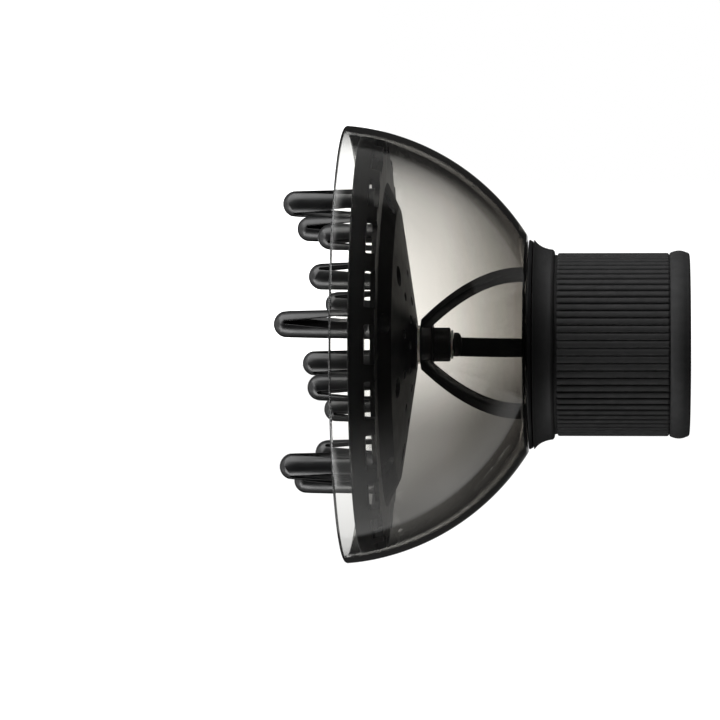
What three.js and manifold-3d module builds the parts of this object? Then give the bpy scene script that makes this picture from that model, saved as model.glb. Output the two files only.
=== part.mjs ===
// Universal hair dryer diffuser: a smoked bowl on a soft ribbed sleeve, with a finger head that turns inside it.
// Millimetres. Every piece is drawn on the diffuser's own centreline: z runs from the sleeve's open end
// towards the fingertips, and an azimuth turns about z from x towards y. The last group lays the centreline level.
import * as THREE from 'three';
import { mergeVertices } from 'three/addons/utils/BufferGeometryUtils.js';
import Module from 'manifold-3d';

const wasm = await Module();
wasm.setup();

// ---- Driving dimensions ----

const GAP = 0.3; // between two faces that seat on each other
const FIT = 0.35; // radial play of a round part in its hole
const OVERSHOOT = 1; // how far a cutter reaches past what it cuts

const SLEEVE = {
  endLipRadius: 27, // inside lip that grips the nozzle
  endLipDepth: 1.5,
  bore: 27.8,
  beadLength: 6.8,
  beadRadius: 32,
  beadEdgeRadius: 31.4,
  beadCrown: 0.3, // share of the bead's length at its full radius
  ribCount: 76,
  ribCrest: 31.2,
  ribValley: 30.5,
  ribEnd: 44.8,
  plainRadius: 30.6, // the smooth stretch under the clamp ring
  coreRadius: 29.7, // the tube under the ribs
  ribRoot: 0.6, // how far the ribs reach into the core
  ribLap: 0.5, // how far they run into the bead
  length: 52.7,
};
const CLAMP = {
  back: 45.7,
  backRadius: 31.9,
  shoulder: 0.6,
  shoulderRadius: 32.4,
  frontRadius: 35.7,
  flareLead: 0.67, // the flare's control point, as shares of its length and of its rise
  flareRise: 0.15,
};
const NECK = {
  spigotBack: 42,
  spigotBore: 25.6,
  flange: 1.4,
  flangeBackRadius: 35.15,
  flangeFrontRadius: 35.95,
  collarWall: 1.7,
  collarFront: 56.1,
};
const BOWL = { rimZ: 116.9, rimRadius: 75, arcRadius: 81.4, neckRadius: 35.2, wall: 2, rimRound: 0.45 };
const SPIDER = {
  tubeBack: 46,
  tubeBore: 23.4,
  flangeRadius: 27.9,
  armCount: 3,
  armAzimuth: 62.5,
  armWidth: 6.2,
  armThickness: 2.4,
  armStraight: 1.7, // how far an arm runs along z before it bends in
  armBend: 0.43, // where the bend's control point lies, as a share of the way to the hub
  armEndRadius: 7.6,
};
const HUB = { back: 81.4, bossRadius: 5.8, blockBack: 87.3, blockRadius: 8.9, front: 91.4 };
const AXLE = { radius: 2, headRadius: 4.1, headHeight: 2.8, headEdge: 1, front: 99.9 };
const REAR_WASHER = { radius: 4.9, thickness: 0.6 };
const THRUST_WASHER = { radius: 6.5, thickness: 0.8 };
const BUSH = { radius: 3.9, flangeRadius: 5.6, flange: 0.8 };
const PLATE = {
  thickness: 1.6,
  hubRadius: 9, // flat centre of the dish
  creaseRadius: 46.8, // the shallow cone ends here and a steep one begins
  creaseZ: 98.7,
  stepRadius: 55.3, // the steep cone ends here in a flat ring
  edgeZ: 102.7,
  bandFront: 111.2,
  bandWall: 2,
  bandClearance: 1, // running gap to the bowl
  bossRadius: 6.6,
  bossFront: 97,
};
const WINDOW = { count: 24, angle: 11, back: 102, front: 106, inset: 2.4 };
const VENT = { radius: 1.6, sides: 6 };
const FINGER_AZIMUTH = 7.5;
const VENT_RINGS = [
  { radius: 17, count: 12, azimuth: 0 },
  { radius: 26.5, count: 12, azimuth: FINGER_AZIMUTH },
];
const FINGER_COUNT = 6; // in each of the two rings
const OUTER_RING = { radius: 51.3, tip: 136.9, azimuth: FINGER_AZIMUTH, seatTop: 104.7 };
const INNER_RING = { radius: 37.3, tip: 127.3, azimuth: FINGER_AZIMUTH + 30, seatTop: 100.9 };
const FINGER = {
  baseRadius: 4.45,
  tipRadius: 4.1,
  wall: 1.5,
  flangeRadius: 5.2,
  flare: 1.8, // height of the flared foot
  spigotRadius: 3.2,
  spigot: 1.9,
  spigotWall: 1,
  slotCount: 3,
  slotTipOffset: 3.8, // from the fingertip back to the slot's point
  slotTaperLength: 18,
  slotWidth: 4.5,
  slotFoot: 3.4, // from the flange's underside up to the slot's wide end
  slotStraight: 1, // least straight stretch above that
};
const CAP = { radius: 9.6, wall: 1.3, height: 6.6, edge: 1.6, edgeReach: 2.9 };
const NUT = { width: 8, height: 2 };

// How many flat sides stand for a round: large shells, middling rings and small turned parts.
const SIDES = { shell: 48, sleeve: SLEEVE.ribCount / 2, ring: 36, hub: 20, small: 14, finger: 9 };
const FULL_TURN = 360;

// ---- Levels along the centreline that follow from the driving dimensions ----

const flangeBack = SLEEVE.length + GAP;
const flangeFront = flangeBack + NECK.flange;
const bowlBack = flangeFront + GAP;
const axleHeadFront = HUB.back - 2 * GAP - REAR_WASHER.thickness;
const plateCentre = HUB.front + 2 * GAP + THRUST_WASHER.thickness;
const bushFlangeBack = HUB.front - BUSH.flange;

// ---- Helpers ----

/** A profile point: z along the centreline, r out from it. */
const at = (z, r) => new THREE.Vector2(r, z);

const radians = THREE.MathUtils.degToRad;

/** A solid of revolution about z. The profile runs up its outer side and down its inner one. */
function revolve(profile, sides) {
  return new THREE.LatheGeometry(profile, sides).rotateX(Math.PI / 2);
}

/** A revolved ring with a bore: its profile is closed back to its first point. */
function revolveRing(profile, sides) {
  return revolve([...profile, profile[0].clone()], sides);
}

/** A plain cylinder about z, between two levels. */
function drum(radius, back, front, sides) {
  return revolve([at(back, 0), at(back, radius), at(front, radius), at(front, 0)], sides);
}

/** A plain tube about z, between two levels. */
function tube(bore, radius, back, front, sides) {
  return revolveRing([at(back, bore), at(back, radius), at(front, radius), at(front, bore)], sides);
}

/** An outline drawn in (z, r), made into a slab of the given width that stands on azimuth 0. */
function radialSlab(shape, width) {
  const slab = new THREE.ExtrudeGeometry(shape, { depth: width, bevelEnabled: false, curveSegments: 1 });
  slab.translate(0, 0, -width / 2);
  const axes = [new THREE.Vector3(0, 0, 1), new THREE.Vector3(1, 0, 0), new THREE.Vector3(0, 1, 0)];
  return slab.applyMatrix4(new THREE.Matrix4().makeBasis(...axes));
}

/** The manifold solid of a closed geometry, its shared corners welded and its empty triangles dropped. */
function toSolid(geometry) {
  const bare = geometry.clone();
  bare.deleteAttribute('normal');
  bare.deleteAttribute('uv');
  const welded = mergeVertices(bare, 1e-4);
  const corners = welded.index.array;
  const triangles = [];
  for (let i = 0; i < corners.length; i += 3) {
    const triangle = [corners[i], corners[i + 1], corners[i + 2]];
    if (new Set(triangle).size === 3) {
      triangles.push(...triangle);
    }
  }
  return new wasm.Manifold(
    new wasm.Mesh({
      numProp: 3,
      vertProperties: Float32Array.from(welded.attributes.position.array),
      triVerts: Uint32Array.from(triangles),
    }),
  );
}

/** The geometry of a manifold solid. */
function toGeometry(solid) {
  const { vertProperties, triVerts } = solid.getMesh();
  const geometry = new THREE.BufferGeometry();
  geometry.setAttribute('position', new THREE.BufferAttribute(vertProperties, 3));
  geometry.setIndex(new THREE.BufferAttribute(triVerts, 1));
  geometry.computeVertexNormals();
  return geometry;
}

/** Copies of a geometry turned about z to evenly spaced azimuths, as solids. */
function turnedSolids(geometry, count, firstAzimuth = 0) {
  return Array.from({ length: count }, (_, i) => {
    return toSolid(geometry.clone().rotateZ(radians(firstAzimuth + (i * FULL_TURN) / count)));
  });
}

const join = (first, others) => others.reduce((whole, part) => whole.add(part), first);
const cut = (first, others) => others.reduce((whole, part) => whole.subtract(part), first);

/** Points of a quarter-round or other stretch of a circle in (z, r), from one angle to another. */
function arcPoints(centreZ, centreR, radius, fromAngle, toAngle, steps) {
  return Array.from({ length: steps + 1 }, (_, i) => {
    const angle = THREE.MathUtils.lerp(fromAngle, toAngle, i / steps);
    return at(centreZ + radius * Math.cos(angle), centreR + radius * Math.sin(angle));
  });
}

// ---- Materials ----

const blackPlastic = () => new THREE.MeshStandardMaterial({ color: 0x0c0c0d, roughness: 0.38, metalness: 0 });
const silicone = () => new THREE.MeshStandardMaterial({ color: 0x2a2a2b, roughness: 0.82, metalness: 0 });
const clampPlastic = () => new THREE.MeshStandardMaterial({ color: 0x202021, roughness: 0.7, metalness: 0 });
const acetal = () => new THREE.MeshStandardMaterial({ color: 0xd8d6cf, roughness: 0.5, metalness: 0 });
const steel = () => new THREE.MeshStandardMaterial({ color: 0xb9bcc0, roughness: 0.3, metalness: 1 });
const smokedPlastic = () => {
  return new THREE.MeshStandardMaterial({ color: 0x4a4844, roughness: 0.05, transparent: true, opacity: 0.45 });
};

// ---- The bowl's arc, shared by its two faces and by the finger plate's band ----

const neckPoint = new THREE.Vector2(flangeBack + NECK.flange / 2, BOWL.neckRadius);
const rimPoint = new THREE.Vector2(BOWL.rimZ, BOWL.rimRadius);
const chord = rimPoint.clone().sub(neckPoint);
const centreOffset = Math.sqrt(BOWL.arcRadius ** 2 - (chord.length() / 2) ** 2);
const bowlCentre = neckPoint
  .clone()
  .addScaledVector(chord, 0.5)
  .add(new THREE.Vector2(chord.y, -chord.x).setLength(centreOffset));

/** The bowl's radius at a level, for a surface that lies inset inside its outer face. */
function bowlRadiusAt(z, inset) {
  return bowlCentre.y + Math.sqrt((BOWL.arcRadius - inset) ** 2 - (z - bowlCentre.x) ** 2);
}

/** Points of the bowl's face at the given inset, from one level to another. */
function bowlArc(inset, fromZ, toZ, steps) {
  const radius = BOWL.arcRadius - inset;
  const angleAt = (z) => Math.acos((z - bowlCentre.x) / radius);
  return arcPoints(bowlCentre.x, bowlCentre.y, radius, angleAt(fromZ), angleAt(toZ), steps);
}

// ---- Housing ----

/** Smoked transparent bowl: one arc from the neck to the rim, with a flat base ring round the collar. */
function bowl() {
  const hole = SPIDER.flangeRadius + GAP + NECK.collarWall + GAP;
  const baseFront = bowlBack + BOWL.wall;
  const rimInner = bowlRadiusAt(BOWL.rimZ, BOWL.wall);
  const rimOuter = bowlRadiusAt(BOWL.rimZ, 0);
  return revolveRing(
    [
      at(bowlBack, hole),
      ...bowlArc(0, bowlBack, BOWL.rimZ - BOWL.rimRound, 7),
      at(BOWL.rimZ, rimOuter - BOWL.rimRound),
      at(BOWL.rimZ, rimInner + BOWL.rimRound),
      ...bowlArc(BOWL.wall, BOWL.rimZ - BOWL.rimRound, baseFront, 6),
      at(baseFront, hole),
    ],
    SIDES.shell,
  );
}

/** Neck ring: spigot inside the sleeve, flange behind the bowl and collar through the bowl's base. */
function neckRing() {
  const spigotRadius = SLEEVE.bore - GAP;
  const collarBore = SPIDER.flangeRadius + GAP;
  return revolveRing(
    [
      at(NECK.spigotBack, NECK.spigotBore),
      at(NECK.spigotBack, spigotRadius),
      at(flangeBack, spigotRadius),
      at(flangeBack, NECK.flangeBackRadius),
      at(flangeFront, NECK.flangeFrontRadius),
      at(flangeFront, collarBore + NECK.collarWall),
      at(NECK.collarFront, collarBore + NECK.collarWall),
      at(NECK.collarFront, collarBore),
      at(flangeFront, collarBore),
      at(flangeFront, NECK.spigotBore),
    ],
    SIDES.ring,
  );
}

/** Flared ring that holds the sleeve on the spigot. Its outer face sweeps out to meet the bowl. */
function clampRing() {
  const shoulderZ = CLAMP.back + CLAMP.shoulder;
  const length = SLEEVE.length - shoulderZ;
  const rise = CLAMP.frontRadius - CLAMP.shoulderRadius;
  const flare = new THREE.QuadraticBezierCurve(
    at(shoulderZ, CLAMP.shoulderRadius),
    at(shoulderZ + CLAMP.flareLead * length, CLAMP.shoulderRadius + CLAMP.flareRise * rise),
    at(SLEEVE.length, CLAMP.frontRadius),
  );
  const bore = SLEEVE.plainRadius + FIT;
  return revolveRing(
    [
      at(CLAMP.back, bore),
      at(CLAMP.back, CLAMP.backRadius),
      ...flare.getPoints(4),
      at(SLEEVE.length, bore),
    ],
    SIDES.ring,
  );
}

/** The rib pattern's outline: flat-topped ribs with a narrow groove after each. */
function ribOutline() {
  const corners = [
    { phase: -0.3, radius: SLEEVE.ribCrest },
    { phase: 0.3, radius: SLEEVE.ribCrest },
    { phase: 0.5, radius: SLEEVE.ribValley },
  ];
  const points = [];
  for (let rib = 0; rib < SLEEVE.ribCount; rib += 1) {
    for (const { phase, radius } of corners) {
      const angle = ((rib + phase) * 2 * Math.PI) / SLEEVE.ribCount;
      points.push(new THREE.Vector2(radius * Math.cos(angle), radius * Math.sin(angle)));
    }
  }
  return points;
}

/** Soft sleeve: end lip and bead, lengthwise ribs, and a smooth stretch that goes under the clamp ring. */
function sleeve() {
  const crownStart = (SLEEVE.beadLength * (1 - SLEEVE.beadCrown)) / 2;
  const core = revolveRing(
    [
      at(0, SLEEVE.endLipRadius),
      at(0, SLEEVE.beadEdgeRadius),
      at(crownStart, SLEEVE.beadRadius),
      at(SLEEVE.beadLength - crownStart, SLEEVE.beadRadius),
      at(SLEEVE.beadLength, SLEEVE.beadEdgeRadius),
      at(SLEEVE.beadLength, SLEEVE.coreRadius),
      at(SLEEVE.ribEnd, SLEEVE.coreRadius),
      at(SLEEVE.ribEnd, SLEEVE.plainRadius),
      at(SLEEVE.length, SLEEVE.plainRadius),
      at(SLEEVE.length, SLEEVE.bore),
      at(2 * SLEEVE.endLipDepth, SLEEVE.bore),
      at(SLEEVE.endLipDepth, SLEEVE.endLipRadius),
    ],
    SIDES.sleeve,
  );
  const outline = new THREE.Shape(ribOutline());
  const root = SLEEVE.coreRadius - SLEEVE.ribRoot;
  const hole = new THREE.EllipseCurve(0, 0, root, root, 0, 2 * Math.PI);
  outline.holes.push(new THREE.Path(hole.getPoints(SIDES.sleeve).slice(0, -1)));
  const start = SLEEVE.beadLength - SLEEVE.ribLap;
  const ribs = new THREE.ExtrudeGeometry(outline, { depth: SLEEVE.ribEnd - start, bevelEnabled: false });
  return toGeometry(toSolid(core).add(toSolid(ribs.translate(0, 0, start))));
}

/** One spider arm: a flat strip that leaves the ring along z and bends in to the hub. */
function spiderArm() {
  const bendStart = NECK.collarFront + SPIDER.armStraight;
  const bendEnd = HUB.front - GAP;
  const outer = new THREE.QuadraticBezierCurve(
    new THREE.Vector2(bendStart, SPIDER.flangeRadius),
    new THREE.Vector2(THREE.MathUtils.lerp(bendStart, bendEnd, SPIDER.armBend), SPIDER.flangeRadius),
    new THREE.Vector2(bendEnd, SPIDER.armEndRadius),
  );
  const steps = 7;
  const outerPoints = outer.getPoints(steps);
  const innerPoints = outerPoints.map((point, i) => {
    const tangent = outer.getTangent(i / steps);
    return new THREE.Vector2(tangent.y, -tangent.x).multiplyScalar(SPIDER.armThickness).add(point);
  });
  const root = bowlBack + NECK.flange / 2;
  const outline = [
    new THREE.Vector2(root, SPIDER.flangeRadius - SPIDER.armThickness),
    ...innerPoints,
    ...outerPoints.reverse(),
    new THREE.Vector2(root, SPIDER.flangeRadius),
  ];
  return radialSlab(new THREE.Shape(outline), SPIDER.armWidth);
}

/** Spider: flanged ring in the neck, three arms and the hub that carries the axle's bush. */
function spider() {
  const tubeRadius = NECK.spigotBore - GAP;
  const ring = revolveRing(
    [
      at(SPIDER.tubeBack, SPIDER.tubeBore),
      at(SPIDER.tubeBack, tubeRadius),
      at(bowlBack, tubeRadius),
      at(bowlBack, SPIDER.flangeRadius),
      at(NECK.collarFront, SPIDER.flangeRadius),
      at(NECK.collarFront, SPIDER.tubeBore),
    ],
    SIDES.ring,
  );
  const hub = revolveRing(
    [
      at(HUB.back, BUSH.radius + GAP),
      at(HUB.back, HUB.bossRadius),
      at(HUB.blockBack, HUB.bossRadius),
      at(HUB.blockBack, HUB.blockRadius),
      at(HUB.front, HUB.blockRadius),
      at(HUB.front, BUSH.flangeRadius + GAP),
      at(bushFlangeBack - GAP, BUSH.flangeRadius + GAP),
      at(bushFlangeBack - GAP, BUSH.radius + GAP),
    ],
    SIDES.hub,
  );
  const arms = turnedSolids(spiderArm(), SPIDER.armCount, SPIDER.armAzimuth);
  return toGeometry(join(toSolid(ring), [...arms, toSolid(hub)]));
}

/** Flanged bush in the hub that the axle turns in. */
function bearingBush() {
  const bore = AXLE.radius + FIT;
  return revolveRing(
    [
      at(HUB.back + GAP, bore),
      at(HUB.back + GAP, BUSH.radius),
      at(bushFlangeBack, BUSH.radius),
      at(bushFlangeBack, BUSH.flangeRadius),
      at(HUB.front, BUSH.flangeRadius),
      at(HUB.front, bore),
    ],
    SIDES.small,
  );
}

// ---- Finger head ----

/** Axle: domed head behind the hub, shank through the bush and the plate. */
function axlePin() {
  const domeBack = axleHeadFront - AXLE.headHeight;
  const dome = new THREE.QuadraticBezierCurve(
    at(domeBack, 0),
    at(domeBack, AXLE.headRadius),
    at(axleHeadFront - AXLE.headEdge, AXLE.headRadius),
  );
  return revolve(
    [
      ...dome.getPoints(4),
      at(axleHeadFront, AXLE.headRadius),
      at(axleHeadFront, AXLE.radius),
      at(AXLE.front, AXLE.radius),
      at(AXLE.front, 0),
    ],
    SIDES.small,
  );
}

function rearWasher() {
  const back = axleHeadFront + GAP;
  return tube(AXLE.radius + FIT, REAR_WASHER.radius, back, back + REAR_WASHER.thickness, SIDES.small);
}

function thrustWasher() {
  const back = HUB.front + GAP;
  return tube(AXLE.radius + FIT, THRUST_WASHER.radius, back, back + THRUST_WASHER.thickness, SIDES.small);
}

/** Level of the plate's back face at a radius: flat centre, shallow cone, steep cone and flat outer ring. */
function plateBackAt(radius) {
  const { mapLinear } = THREE.MathUtils;
  if (radius <= PLATE.hubRadius) {
    return plateCentre;
  }
  if (radius <= PLATE.creaseRadius) {
    return mapLinear(radius, PLATE.hubRadius, PLATE.creaseRadius, plateCentre, PLATE.creaseZ);
  }
  const steep = mapLinear(radius, PLATE.creaseRadius, PLATE.stepRadius, PLATE.creaseZ, PLATE.edgeZ);
  return Math.min(steep, PLATE.edgeZ);
}

/** The dish and its rim band as one revolved shell, bored for the axle. */
function dish() {
  const bandInset = BOWL.wall + PLATE.bandClearance;
  const bandInnerRadius = bowlRadiusAt(PLATE.edgeZ, bandInset) - PLATE.bandWall;
  const backAt = (radius) => at(plateBackAt(radius), radius);
  const frontAt = (radius) => at(plateBackAt(radius) + PLATE.thickness, radius);
  return revolveRing(
    [
      backAt(AXLE.radius + FIT),
      backAt(PLATE.hubRadius),
      backAt(PLATE.creaseRadius),
      backAt(PLATE.stepRadius),
      ...bowlArc(bandInset, PLATE.edgeZ, PLATE.bandFront, 1),
      at(PLATE.bandFront, bowlRadiusAt(PLATE.bandFront, bandInset + PLATE.bandWall)),
      frontAt(bandInnerRadius),
      frontAt(PLATE.stepRadius),
      frontAt(PLATE.creaseRadius),
      frontAt(PLATE.hubRadius),
      frontAt(PLATE.bossRadius),
      at(PLATE.bossFront, PLATE.bossRadius),
      at(PLATE.bossFront, AXLE.radius + FIT),
    ],
    SIDES.shell,
  );
}

/** Flat-topped seat on the dish for one finger. Its foot follows the dish, midway through its thickness. */
function fingerSeat(ring) {
  const seat = drum(FINGER.flangeRadius, plateCentre, ring.seatTop, SIDES.finger).translate(ring.radius, 0, 0);
  const corners = seat.attributes.position;
  for (let i = 0; i < corners.count; i += 1) {
    if (corners.getZ(i) < (plateCentre + ring.seatTop) / 2) {
      const radius = Math.hypot(corners.getX(i), corners.getY(i));
      corners.setZ(i, plateBackAt(radius) + PLATE.thickness / 2);
    }
  }
  return seat;
}

/** A drill through the plate at a radius, on azimuth 0. */
function drill(radius, position, sides) {
  const back = plateCentre - OVERSHOOT;
  return drum(radius, back, PLATE.bandFront + OVERSHOOT, sides).translate(position, 0, 0);
}

/** Cutter for one window at the corner of dish and band. */
function windowCutter() {
  const reach = PLATE.bandWall + WINDOW.inset + PLATE.bandClearance;
  const outer = bowlRadiusAt(WINDOW.front, 0);
  const inner = outer - BOWL.wall - reach;
  const width = 2 * inner * Math.tan(radians(WINDOW.angle / 2));
  const box = new THREE.BoxGeometry(outer - inner, width, WINDOW.front - WINDOW.back);
  return box.translate((outer + inner) / 2, 0, (WINDOW.front + WINDOW.back) / 2);
}

/** Finger plate: the dish with its finger seats, their bores, the vent rings and the rim windows. */
function fingerPlate() {
  const rings = [OUTER_RING, INNER_RING];
  const seats = rings.flatMap((ring) => turnedSolids(fingerSeat(ring), FINGER_COUNT, ring.azimuth));
  const bores = rings.flatMap((ring) => {
    const bore = drill(FINGER.spigotRadius + FIT, ring.radius, SIDES.finger);
    return turnedSolids(bore, FINGER_COUNT, ring.azimuth);
  });
  const vents = VENT_RINGS.flatMap(({ radius, count, azimuth }) => {
    return turnedSolids(drill(VENT.radius, radius, VENT.sides), count, azimuth);
  });
  const windows = turnedSolids(windowCutter(), WINDOW.count);
  return toGeometry(cut(join(toSolid(dish()), seats), [...bores, ...vents, ...windows]));
}

/** One hollow finger standing on z = 0, with a spigot below, a domed tip and three wedge slots. */
function finger(length) {
  const boreRadius = FINGER.tipRadius - FINGER.wall;
  const domeCentre = length - FINGER.tipRadius;
  const shell = revolve(
    [
      at(domeCentre + boreRadius, 0),
      at(domeCentre, boreRadius),
      at(-FINGER.spigot, FINGER.spigotRadius - FINGER.spigotWall),
      at(-FINGER.spigot, FINGER.spigotRadius),
      at(0, FINGER.spigotRadius),
      at(0, FINGER.flangeRadius),
      at(FINGER.flare, FINGER.baseRadius),
      ...arcPoints(domeCentre, 0, FINGER.tipRadius, Math.PI / 2, 0, 3),
    ],
    SIDES.finger,
  );
  const point = length - FINGER.slotTipOffset;
  const shoulder = Math.max(point - FINGER.slotTaperLength, FINGER.slotFoot + FINGER.slotStraight);
  const half = FINGER.slotWidth / 2;
  const wedge = new THREE.Shape([
    new THREE.Vector2(FINGER.slotFoot, -half),
    new THREE.Vector2(shoulder, -half),
    new THREE.Vector2(point, 0),
    new THREE.Vector2(shoulder, half),
    new THREE.Vector2(FINGER.slotFoot, half),
  ]);
  const reach = FINGER.baseRadius + OVERSHOOT;
  const slot = new THREE.ExtrudeGeometry(wedge, { depth: reach, bevelEnabled: false });
  const axes = [new THREE.Vector3(0, 0, 1), new THREE.Vector3(0, 1, 0), new THREE.Vector3(-1, 0, 0)];
  slot.translate(0, 0, -reach).applyMatrix4(new THREE.Matrix4().makeBasis(...axes));
  return toGeometry(cut(toSolid(shell), turnedSolids(slot, FINGER.slotCount)));
}

/** Hexagon nut on the axle's end. */
function axleNut() {
  const back = PLATE.bossFront + GAP;
  const hexagon = drum(NUT.width / Math.sqrt(3), back, back + NUT.height, 6);
  return toGeometry(toSolid(hexagon).subtract(toSolid(drill(AXLE.radius + FIT, 0, SIDES.small))));
}

/** Snap cap over the nut and the plate's boss. */
function hubCap() {
  const capBack = plateBackAt(CAP.radius) + PLATE.thickness + GAP;
  const front = capBack + CAP.height;
  const bore = CAP.radius - CAP.wall;
  const edge = new THREE.QuadraticBezierCurve(
    at(front - CAP.edge, CAP.radius),
    at(front, CAP.radius),
    at(front, CAP.radius - CAP.edgeReach),
  );
  return revolve(
    [
      at(front - CAP.wall, 0),
      at(front - CAP.wall, bore),
      at(capBack, bore),
      at(capBack, CAP.radius),
      ...edge.getPoints(2),
      at(front, 0),
    ],
    SIDES.hub,
  );
}

// ---- Assembly ----

/** Adds one named piece to a group. */
function addPiece(group, name, geometry, material) {
  const mesh = new THREE.Mesh(geometry, material);
  mesh.name = name;
  group.add(mesh);
  return mesh;
}

/** Adds a ring of six fingers, each turned so that one slot faces outward. */
function addFingers(group, prefix, ring) {
  const base = ring.seatTop + GAP;
  const geometry = finger(ring.tip - base);
  for (let i = 0; i < FINGER_COUNT; i += 1) {
    const azimuth = radians(ring.azimuth + (i * FULL_TURN) / FINGER_COUNT);
    const mesh = addPiece(group, `${prefix}_${i + 1}`, geometry, blackPlastic());
    mesh.position.set(ring.radius * Math.cos(azimuth), ring.radius * Math.sin(azimuth), base);
    mesh.rotation.z = azimuth;
  }
}

const housing = new THREE.Group();
addPiece(housing, 'sleeve', sleeve(), silicone());
addPiece(housing, 'clamp_ring', clampRing(), clampPlastic());
addPiece(housing, 'neck_ring', neckRing(), blackPlastic());
addPiece(housing, 'bowl', bowl(), smokedPlastic());
addPiece(housing, 'spider', spider(), blackPlastic());
addPiece(housing, 'bearing_bush', bearingBush(), acetal());

const fingerHead = new THREE.Group();
addPiece(fingerHead, 'axle_pin', axlePin(), blackPlastic());
addPiece(fingerHead, 'rear_washer', rearWasher(), acetal());
addPiece(fingerHead, 'thrust_washer', thrustWasher(), acetal());
addPiece(fingerHead, 'finger_plate', fingerPlate(), blackPlastic());
addPiece(fingerHead, 'axle_nut', axleNut(), steel());
addPiece(fingerHead, 'hub_cap', hubCap(), blackPlastic());
addFingers(fingerHead, 'outer_finger', OUTER_RING);
addFingers(fingerHead, 'inner_finger', INNER_RING);

// The centreline lies level: fingers towards -x, azimuth 0 towards -y and azimuth 90 up.
const diffuser = new THREE.Group();
diffuser.name = 'diffuser';
const levelAxes = [new THREE.Vector3(0, -1, 0), new THREE.Vector3(0, 0, 1), new THREE.Vector3(-1, 0, 0)];
diffuser.setRotationFromMatrix(new THREE.Matrix4().makeBasis(...levelAxes));
diffuser.add(housing, fingerHead);

export default diffuser;
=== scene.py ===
"""The looks of a hair dryer diffuser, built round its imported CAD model.

The pieces are drawn in millimetres on the diffuser's centreline, and place() or mount_matrix() turns them
into the frame's metres. A level is the distance from the sleeve's open end towards the fingertips. An azimuth
turns about the centreline from the camera's side (0) over the top (a quarter turn). An outline is a list of
(level, radius).
"""

import math

import bmesh
import bpy
from mathutils import Matrix, Vector


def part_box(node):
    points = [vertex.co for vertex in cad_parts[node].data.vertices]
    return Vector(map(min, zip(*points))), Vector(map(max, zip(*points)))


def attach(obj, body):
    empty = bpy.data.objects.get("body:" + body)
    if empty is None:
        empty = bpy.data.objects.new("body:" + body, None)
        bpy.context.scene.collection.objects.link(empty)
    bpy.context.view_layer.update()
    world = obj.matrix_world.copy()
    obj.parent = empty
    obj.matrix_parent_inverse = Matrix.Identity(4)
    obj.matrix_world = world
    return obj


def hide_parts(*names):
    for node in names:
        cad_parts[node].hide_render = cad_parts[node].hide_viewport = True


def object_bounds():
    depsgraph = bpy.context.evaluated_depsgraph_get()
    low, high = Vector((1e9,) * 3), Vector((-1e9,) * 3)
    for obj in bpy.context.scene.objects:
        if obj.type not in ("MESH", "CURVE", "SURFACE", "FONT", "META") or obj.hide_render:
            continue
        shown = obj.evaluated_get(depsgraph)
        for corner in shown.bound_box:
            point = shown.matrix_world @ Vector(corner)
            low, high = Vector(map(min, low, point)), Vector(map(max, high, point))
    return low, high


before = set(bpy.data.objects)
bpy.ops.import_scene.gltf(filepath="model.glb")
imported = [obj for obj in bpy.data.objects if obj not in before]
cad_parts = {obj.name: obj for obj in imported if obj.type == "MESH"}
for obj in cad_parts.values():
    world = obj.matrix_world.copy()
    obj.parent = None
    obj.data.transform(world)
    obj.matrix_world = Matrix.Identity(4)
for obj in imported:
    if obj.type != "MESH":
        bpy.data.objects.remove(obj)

CAD_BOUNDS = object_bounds()
MM = 0.001
GAP = 0.3  # between faces that seat on each other
PLAY = 0.35  # round a part in its hole
PAST = 1.0  # how far a cutter reaches past what it cuts
SAME_LEVEL = 0.02  # corners no further apart than this along the centreline are on one level
FULL_TURN = 2 * math.pi
SHARP_EDGE = math.radians(50)
FILLET_STEP = math.radians(22.5)

# ---- Places and sizes from the frame ----


def place(level, radius, azimuth=0.0, side=0.0):
    """The point in the frame at a level, radius and azimuth, stepped sideways."""
    outward = Vector((0, -math.cos(azimuth), math.sin(azimuth)))
    sideways = Vector((0, math.sin(azimuth), math.cos(azimuth)))
    return (Vector((-level, 0, 0)) + outward * radius + sideways * side) * MM


def span(node):
    """A centred node's back level, front level and largest radius."""
    low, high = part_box(node)
    return -high.x / MM, -low.x / MM, max(abs(v) for v in (*low.yz, *high.yz)) / MM


def radii_at(node, level):
    """The smallest and largest radius of a centred node's corners on one level."""
    corners = [v.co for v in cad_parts[node].data.vertices]
    radii = [c.yz.length / MM for c in corners if abs(-c.x / MM - level) < SAME_LEVEL]
    return min(radii), max(radii)


def foot_of(node):
    """Level, radius and azimuth of the middle of a node's rear end, which is a ring of corners."""
    level = span(node)[0]
    corners = [v.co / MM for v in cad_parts[node].data.vertices]
    ring = {(round(c.y, 2), round(c.z, 2)) for c in corners if abs(-c.x - level) < SAME_LEVEL}
    y = sum(p[0] for p in ring) / len(ring)
    z = sum(p[1] for p in ring) / len(ring)
    return level, math.hypot(y, z), math.atan2(z, -y)


# ---- Outlines ----


def rounded(corners):
    """A closed outline through corners given as (level, radius, rounding), or (level, radius) if sharp."""
    outline = []
    for i, corner in enumerate(corners):
        here = Vector(corner[:2])
        size = corner[2] if len(corner) > 2 else 0
        if not size:
            outline.append(tuple(here))
            continue
        back = (Vector(corners[i - 1][:2]) - here).normalized()
        ahead = (Vector(corners[(i + 1) % len(corners)][:2]) - here).normalized()
        half = back.angle(ahead) / 2
        centre = here + (back + ahead).normalized() * (size / math.sin(half))
        arm = here + back * (size / math.tan(half)) - centre
        turn = (math.pi - 2 * half) * math.copysign(1, ahead.cross(back))
        steps = math.ceil(abs(turn) / FILLET_STEP)
        for step in range(steps + 1):
            outline.append(tuple(centre + Matrix.Rotation(turn * step / steps, 2) @ arm))
    return outline


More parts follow.
